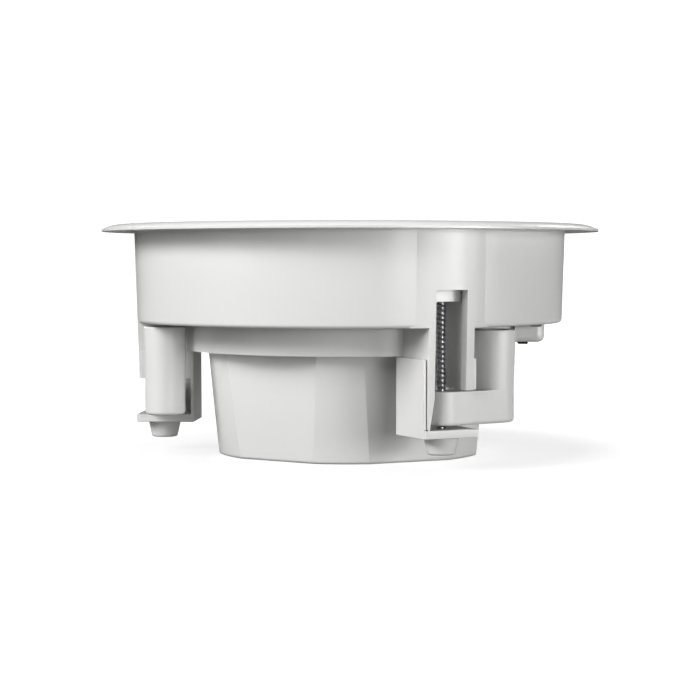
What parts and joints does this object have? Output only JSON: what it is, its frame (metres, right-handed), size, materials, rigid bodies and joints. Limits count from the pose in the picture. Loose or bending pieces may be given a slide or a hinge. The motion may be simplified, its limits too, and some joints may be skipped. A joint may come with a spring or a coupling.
{
  "type": "flush-mount marine speaker",
  "caption": "Round white two-way flush-mount speaker: flanged drum with a slotted grille, swing-out clamps on long screws, stepped rear cover and a push terminal block.",
  "frame": {"origin": "centre of the rear cover's flat base, on the speaker's axis", "axes": "+Z along the speaker's axis from the rear cover to the grille; +X towards the terminal block"},
  "size_m": [0.23, 0.23, 0.1054],
  "materials": {
    "white_plastic": "glossy moulded ABS, white",
    "screw_steel": "dark zinc-plated steel",
    "black_plastic": "matt moulded black",
    "red_plastic": "moulded red",
    "basket_paint": "black powder coat",
    "zinc_steel": "zinc-plated steel",
    "ferrite": "ground ferrite",
    "nickel": "nickel-plated",
    "poly_cone": "moulded polypropylene, grey",
    "rubber_black": "soft black rubber",
    "spider_cloth": "resin-treated cloth",
    "former_foil": "thin foil",
    "copper": "enamelled copper",
    "dome_silk": "coated silk",
    "board_green": "solder-masked board",
    "can_sleeve": "sleeved can",
    "lead_sleeve": "insulated leads"
  },
  "bodies": {
    "frame_body": {"frame": "white_plastic", "flange": "white_plastic", "rear_cover": "white_plastic", "terminal_block": "white_plastic", "grille": "white_plastic", "clamp_cap_rear": "white_plastic", "clamp_cap_left": "white_plastic", "clamp_cap_right": "white_plastic", "cover_screws": "screw_steel", "driver_screws": "screw_steel", "bridge_screws": "screw_steel", "terminal_screws": "screw_steel", "tweeter_bridge": "black_plastic", "tweeter_face": "black_plastic", "basket": "basket_paint", "top_plate": "zinc_steel", "yoke": "zinc_steel", "tweeter_cup": "zinc_steel", "tweeter_pole_plate": "zinc_steel", "magnet": "ferrite", "tweeter_magnet": "nickel", "surround": "rubber_black", "basket_gasket": "rubber_black", "cover_seal": "rubber_black", "wire_grommet": "rubber_black", "spider": "spider_cloth", "terminal_contacts": "copper", "crossover_coil": "copper", "tweeter_dome": "dome_silk", "crossover_board": "board_green", "crossover_capacitor": "can_sleeve", "woofer_leads": "lead_sleeve", "tweeter_leads": "lead_sleeve"},
    "cone_body": {"cone": "poly_cone", "dust_cap": "poly_cone", "voice_coil_former": "former_foil", "voice_coil": "copper"},
    "button_plus": {"terminal_button_plus": "red_plastic"},
    "button_minus": {"terminal_button_minus": "black_plastic"},
    "dog_rear": {"clamp_dog_rear": "white_plastic"},
    "screw_rear": {"clamp_screw_rear": "screw_steel"},
    "dog_left": {"clamp_dog_left": "white_plastic"},
    "screw_left": {"clamp_screw_left": "screw_steel"},
    "dog_right": {"clamp_dog_right": "white_plastic"},
    "screw_right": {"clamp_screw_right": "screw_steel"}
  },
  "joints": [
    {"name": "dog_rear_swing", "type": "hinge", "parent": "frame_body", "child": "dog_rear", "pos_m": [0.0438, 0.07586, 0.026], "axis": [0, 0, -1], "range_deg": [0, 99]},
    {"name": "screw_rear_spin", "type": "hinge", "parent": "frame_body", "child": "screw_rear", "pos_m": [0.0438, 0.07586, 0.026], "axis": [0, 0, -1], "continuous": true},
    {"name": "dog_left_swing", "type": "hinge", "parent": "frame_body", "child": "dog_left", "pos_m": [-0.0876, 0, 0.026], "axis": [0, 0, -1], "range_deg": [0, 99]},
    {"name": "screw_left_spin", "type": "hinge", "parent": "frame_body", "child": "screw_left", "pos_m": [-0.0876, 0, 0.026], "axis": [0, 0, -1], "continuous": true},
    {"name": "dog_right_swing", "type": "hinge", "parent": "frame_body", "child": "dog_right", "pos_m": [0.0438, -0.07586, 0.026], "axis": [0, 0, -1], "range_deg": [0, 99]},
    {"name": "screw_right_spin", "type": "hinge", "parent": "frame_body", "child": "screw_right", "pos_m": [0.0438, -0.07586, 0.026], "axis": [0, 0, -1], "continuous": true},
    {"name": "cone_stroke", "type": "slide", "parent": "frame_body", "child": "cone_body", "axis": [0, 0, 1], "range_m": [-0.004, 0.004], "stiffness_N_per_m": 1500, "deforming": ["surround", "spider"]},
    {"name": "button_plus_press", "type": "slide", "parent": "frame_body", "child": "button_plus", "axis": [0, 0, 1], "range_m": [0, 0.001], "stiffness_N_per_m": 400},
    {"name": "button_minus_press", "type": "slide", "parent": "frame_body", "child": "button_minus", "axis": [0, 0, 1], "range_m": [0, 0.001], "stiffness_N_per_m": 400}
  ]
}
